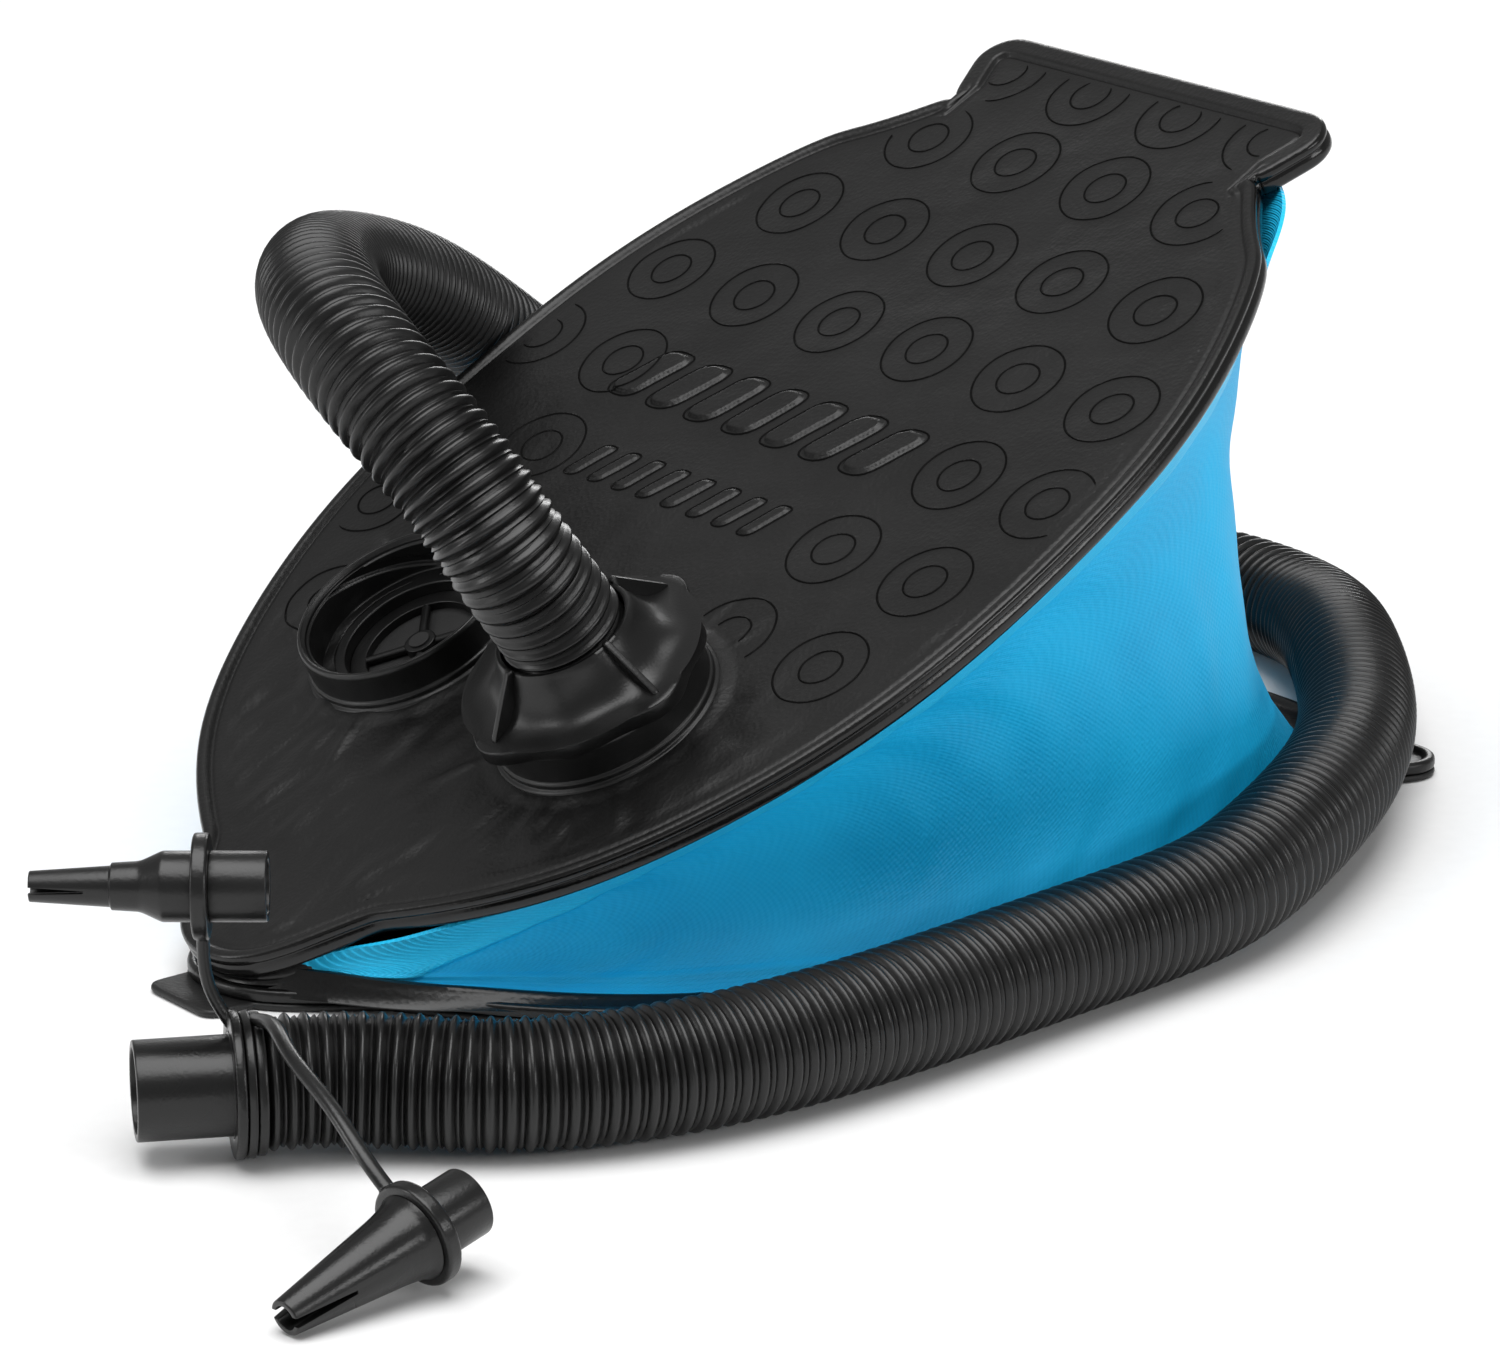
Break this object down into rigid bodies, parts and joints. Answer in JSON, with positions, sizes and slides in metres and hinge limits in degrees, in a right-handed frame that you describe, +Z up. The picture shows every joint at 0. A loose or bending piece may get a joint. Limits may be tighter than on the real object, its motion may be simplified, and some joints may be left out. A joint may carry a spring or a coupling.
{
  "type": "foot bellows pump",
  "caption": "Wedge-shaped foot bellows pump: hinged treadle over a sprung fabric bellows, threaded inflate and deflate ports, corrugated hose and tethered nozzles.",
  "frame": {"origin": "centre of the base's underside, on the floor", "axes": "+X from the nose to the heel, +Y to the left, +Z up; the pump stands open"},
  "size_m": [0.4049, 0.2926, 0.1485],
  "materials": {
    "sole": "matte moulded PVC",
    "skin": "matte grained soft PVC",
    "board": "bare hardboard",
    "fabric": "coated woven polyester, satin",
    "spring_steel": "drawn wire, lightly oiled",
    "screw_steel": "zinc plated",
    "seat_plastic": "moulded polypropylene",
    "port_plastic": "satin moulded polyethylene",
    "hose_plastic": "semi-gloss corrugated polyethylene",
    "nozzle_plastic": "satin moulded polyethylene",
    "valve_rubber": "smooth moulded rubber"
  },
  "bodies": {
    "base": {"base_sole": "sole", "base_skin": "skin", "nose_hinge_web": "skin", "base_board": "board", "lower_spring_seat": "seat_plastic", "lower_seat_screws": "screw_steel", "bellows_wall": "fabric", "main_spring": "spring_steel", "hose": "hose_plastic", "hose_outlet": "nozzle_plastic"},
    "treadle": {"treadle_skin": "skin", "treadle_board": "board", "upper_spring_seat": "seat_plastic", "upper_seat_screws": "screw_steel", "inflate_socket": "port_plastic", "deflate_socket": "port_plastic", "inflate_valve_cage": "port_plastic", "deflate_valve_cage": "port_plastic", "inflate_valve_pin": "valve_rubber", "deflate_valve_pin": "valve_rubber"},
    "inflate_valve": {"inflate_flap": "valve_rubber"},
    "deflate_valve": {"deflate_flap": "valve_rubber"},
    "cuff": {"hose_cuff": "nozzle_plastic", "connector_seal": "valve_rubber"},
    "collar": {"connector_collar": "port_plastic"},
    "tether_a_body": {"tether_a": "nozzle_plastic"},
    "tether_b_body": {"tether_b": "nozzle_plastic"},
    "nozzle_a_body": {"nozzle_a": "nozzle_plastic"},
    "nozzle_b_body": {"nozzle_b": "nozzle_plastic"}
  },
  "joints": [
    {"name": "treadle_hinge", "type": "hinge", "parent": "base", "child": "treadle", "pos_m": [-0.137, 0, 0.0085], "axis": [0, 1, 0], "range_deg": [0, 24], "stiffness_Nm_per_rad": 6, "springref_deg": -14.32, "deforming": ["bellows_wall", "main_spring", "hose"]},
    {"name": "inflate_valve_lift", "type": "slide", "parent": "treadle", "child": "inflate_valve", "axis": [-0.4901, 0, 0.8716], "range_m": [0, 0.0015]},
    {"name": "deflate_valve_lift", "type": "slide", "parent": "treadle", "child": "deflate_valve", "axis": [0.4901, 0, -0.8716], "range_m": [0, 0.0015]},
    {"name": "connector_lift", "type": "slide", "parent": "treadle", "child": "cuff", "axis": [-0.4901, 0, 0.8716], "range_m": [0, 0.01], "deforming": ["hose"]},
    {"name": "collar_turn", "type": "hinge", "parent": "cuff", "child": "collar", "pos_m": [-0.07152, -0.0318, 0.05527], "axis": [-0.4901, 0, 0.8716], "range_deg": [0, 106.88], "deforming": ["hose"]},
    {"name": "tether_a_swing", "type": "hinge", "parent": "base", "child": "tether_a_body", "pos_m": [-0.18412, -0.07147, 0.0139], "axis": [-0.88, 0.475, 0], "range_deg": [-50, 60]},
    {"name": "tether_b_swing", "type": "hinge", "parent": "base", "child": "tether_b_body", "pos_m": [-0.1806, -0.07337, 0.0139], "axis": [-0.88, 0.475, 0], "range_deg": [0, 45]},
    {"name": "nozzle_a_spin", "type": "hinge", "parent": "tether_a_body", "child": "nozzle_a_body", "pos_m": [-0.1863, -0.0654, 0.0508], "axis": [-0.7839, 0.6209, 0], "continuous": true},
    {"name": "nozzle_b_spin", "type": "hinge", "parent": "tether_b_body", "child": "nozzle_b_body", "pos_m": [-0.1937, -0.1413, 0.0103], "axis": [-0.9709, -0.099, -0.218], "continuous": true}
  ],
  "couplings": [
    {"joint": "connector_lift", "follows": "collar_turn", "m_per_rad": 0.005093}
  ]
}
